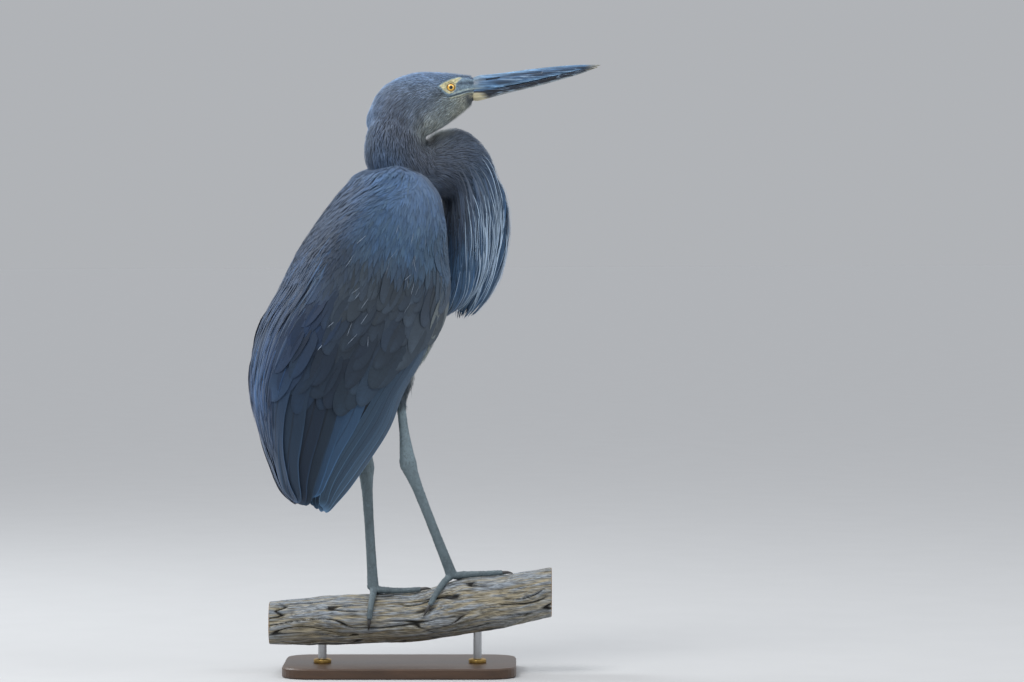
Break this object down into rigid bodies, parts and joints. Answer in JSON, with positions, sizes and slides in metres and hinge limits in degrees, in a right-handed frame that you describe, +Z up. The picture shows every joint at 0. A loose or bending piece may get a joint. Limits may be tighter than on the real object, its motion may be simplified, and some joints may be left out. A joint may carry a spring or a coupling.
{
  "type": "heron",
  "caption": "Life-size still model of a great-billed heron standing upright on a cut length of branch, held over a flat display base by two short rods.",
  "frame": {"origin": "centre of the underside of the stand's flat base", "axes": "+X the way the heron's body faces, +Y its left side, +Z up; the perch and the head are turned 25 degrees to the bird's right"},
  "size_m": [0.4762, 0.3034, 0.864],
  "materials": {
    "feather_head": "short fine hair-like feathers, slate grey with a brownish purple tint, soft and matt",
    "feather_neck": "fine soft taupe-grey feathers",
    "feather_plume": "long narrow silvery lanceolate plumes over dark slate",
    "feather_body": "smooth overlapping blue-slate feathers, soft sheen",
    "feather_flight": "long stiff slate-blue vanes with fine barbs",
    "bill": "horn, blue-grey with pale streaks, satin",
    "bill_lower": "horn, darker blue-grey with a cream base, satin",
    "eye": "wet yellow iris with a black pupil",
    "bare_skin": "bare skin of the lores and eyelids, grey-green to pale yellow",
    "leg_skin": "scaly horny skin, warm grey, dry",
    "claw": "dark horn",
    "perch_wood": "weathered fibrous dead wood, grey with beige furrows",
    "stand_wood": "dark stained wood, satin",
    "stand_steel": "brushed steel rod"
  },
  "bodies": {
    "root": {"head": "feather_head", "bill_upper": "bill", "bill_lower": "bill_lower", "eye_left": "eye", "eye_right": "eye", "neck_upper": "feather_head", "neck_middle": "feather_neck", "neck_lower": "feather_neck", "neck_plumes": "feather_plume", "trunk": "feather_body", "tail": "feather_flight", "wing_left_coverts": "feather_body", "wing_left_secondaries": "feather_flight", "wing_left_primaries": "feather_flight", "wing_right_coverts": "feather_body", "wing_right_secondaries": "feather_flight", "wing_right_primaries": "feather_flight", "thigh_left": "feather_body", "thigh_right": "feather_body", "shank_left": "leg_skin", "shank_right": "leg_skin", "tarsus_left": "leg_skin", "tarsus_right": "leg_skin", "toe_left_hind": "leg_skin", "toe_left_inner": "leg_skin", "toe_left_middle": "leg_skin", "toe_left_outer": "leg_skin", "toe_right_hind": "leg_skin", "toe_right_inner": "leg_skin", "toe_right_middle": "leg_skin", "toe_right_outer": "leg_skin", "claw_left_hind": "claw", "claw_left_inner": "claw", "claw_left_middle": "claw", "claw_left_outer": "claw", "claw_right_hind": "claw", "claw_right_inner": "claw", "claw_right_middle": "claw", "claw_right_outer": "claw", "perch_branch": "perch_wood", "stand_base": "stand_wood", "stand_rod_front": "stand_steel", "stand_rod_rear": "stand_steel"}
  },
  "joints": []
}
